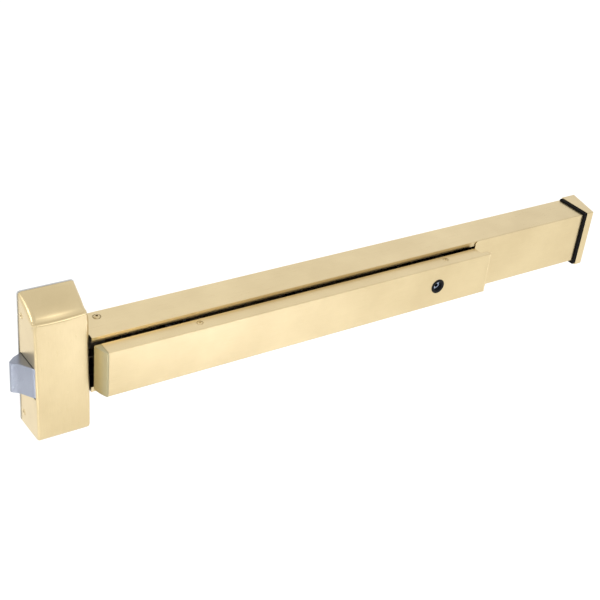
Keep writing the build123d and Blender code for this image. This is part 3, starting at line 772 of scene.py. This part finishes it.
pad_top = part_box("push_pad")[1][2]
pad_screw_radius = 3.8
low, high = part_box("pad_screws")
pad_screw_y = (low[1] + high[1]) / 2
pad_screw_x = (low[0] + pad_screw_radius * MM, high[0] - pad_screw_radius * MM)
add_screws(
    "pad_button_screws", "pad_screws", "pad",
    [((x, pad_screw_y, side * pad_top), (0, 0, side)) for x in pad_screw_x for side in (-1, 1)],
    radius=pad_screw_radius, rise=1.25, sink=-0.8, recess="hex",
)

add_screws(
    "cover_oval_screws", "cover_screws", "frame",
    [((side * cover_screw_face * MM, -cover_screw_reach * MM, height * MM), (side, 0, 0))
     for side in (-1, 1) for height in reversed(cover_screw_heights)],
    radius=3.45, rise=1.35, sink=-0.9, recess="cross",
)


# ------------------------------------------------------------------ return springs
def coil_mesh(name, centre, start, length, radius, wire, turns, material):
    """A round-wire compression spring along -Y with closed end turns, sizes in millimetres."""
    around, along_turn = 10, 28
    dead = 1.0
    closed_pitch = wire * 1.05
    total = turns + 2 * dead
    steps = int(total * along_turn)
    live = length - 2 * dead * closed_pitch
    spine = []
    for k in range(steps + 1):
        t = total * k / steps
        if t < dead:
            reach = closed_pitch * t
        elif t > turns + dead:
            reach = closed_pitch * dead + live + closed_pitch * (t - turns - dead)
        else:
            reach = closed_pitch * dead + live * (t - dead) / turns
        angle = 2 * math.pi * t
        spine.append(Vector((centre[0] + radius * math.cos(angle), -(start + reach),
                             centre[1] + radius * math.sin(angle))))
    points, faces = [], []
    for k, spot in enumerate(spine):
        ahead = (spine[min(k + 1, steps)] - spine[max(k - 1, 0)]).normalized()
        outward = Vector((spot.x - centre[0], 0.0, spot.z - centre[1])).normalized()
        sideways = ahead.cross(outward).normalized()
        for j in range(around):
            turn = 2 * math.pi * j / around
            offset = outward * math.cos(turn) + sideways * math.sin(turn)
            points.append((spot + offset * wire / 2) * MM)
    for k in range(steps):
        for j in range(around):
            nxt = (j + 1) % around
            a, b = k * around, (k + 1) * around
            faces.append((a + j, a + nxt, b + nxt, b + j))
    faces.append(tuple(range(around)))
    faces.append(tuple(range(steps * around, (steps + 1) * around)))
    return mesh_object(name, points, faces, material)


spring_foot, spring_gap = 3.2, 0.2
spring_radius, spring_wire, spring_turns = 4.4, 1.2, 5
spring_heights = (-18, 18)
for number in (1, 2):
    node = f"return_spring_{number}"
    low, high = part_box(node)
    spring_length = -low[1] / MM - spring_foot - spring_gap
    across_mm = (low[0] + high[0]) / 2 / MM
    pair = [coil_mesh("coil", (across_mm, height), spring_foot, spring_length, spring_radius,
                      spring_wire, spring_turns, spring_steel)
            for height in spring_heights]
    springs = join(f"return_coils_{number}", pair, spring_steel)
    stand_for(springs, node, "frame")
    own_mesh(springs)


# ------------------------------------------------------------------ floor and light
def add_floor(height, size):
    """A pale square floor that glows a little, so that it stays near white."""
    mesh = bpy.data.meshes.new("floor")
    corners = [(-size, -size, height), (size, -size, height), (size, size, height), (-size, size, height)]
    mesh.from_pydata(corners, [], [(0, 1, 2, 3)])
    material, _, shader = new_material("floor_paint")
    shader.inputs["Base Color"].default_value = (0.86, 0.86, 0.85, 1.0)
    shader.inputs["Roughness"].default_value = 0.9
    shader.inputs["Emission Color"].default_value = (1.0, 1.0, 1.0, 1.0)
    shader.inputs["Emission Strength"].default_value = 0.27
    add_object("floor", mesh, material)


def add_panel(name, place, aim, size, power, colour=(1.0, 1.0, 1.0), spread=180.0):
    """A soft rectangular lamp at place that faces aim."""
    data = bpy.data.lights.new(name, "AREA")
    data.shape = "RECTANGLE"
    data.size, data.size_y = size
    data.energy = power
    data.color = colour
    data.spread = math.radians(spread)
    lamp = bpy.data.objects.new(name, data)
    lamp.location = place
    lamp.rotation_euler = (Vector(aim) - Vector(place)).to_track_quat("-Z", "Y").to_euler()
    lamp.visible_camera = False
    bpy.context.scene.collection.objects.link(lamp)


def add_world(colour, strength):
    """An even light from all round."""
    world = bpy.data.worlds.new("studio")
    world.use_nodes = True
    background = world.node_tree.nodes["Background"]
    background.inputs["Color"].default_value = (*colour, 1.0)
    background.inputs["Strength"].default_value = strength
    bpy.context.scene.world = world


floor_height = -0.45
add_floor(height=floor_height, size=6.0)
add_world(colour=(1.0, 0.995, 0.985), strength=0.90)
# two pools of light on the floor, which the front and the left side reflect
add_panel("pool_front", place=(0.60, -1.25, 0.55), aim=(0.60, -0.95, floor_height), size=(0.2, 0.2),
          power=1.25, colour=(0.70, 0.75, 1.0), spread=42.0)
add_panel("pool_left", place=(-0.70, -0.50, 0.5), aim=(-0.57, -0.40, floor_height), size=(0.1, 0.1),
          power=0.35, spread=24.0)
add_panel("rim_left", place=(-1.9, 0.25, 0.95), aim=(0.0, -0.05, 0.05), size=(0.5, 0.7), power=5.0)
add_panel("brow_line", place=(0.55, -2.0, 1.75), aim=(0.1, -0.05, 0.05), size=(0.9, 0.5), power=7.0)
add_panel("back_fill", place=(2.4, 3.2, 2.5), aim=(0.4, 0.0, 0.0), size=(3.0, 3.0), power=4.0)
bpy.context.scene.view_settings.view_transform = "Standard"
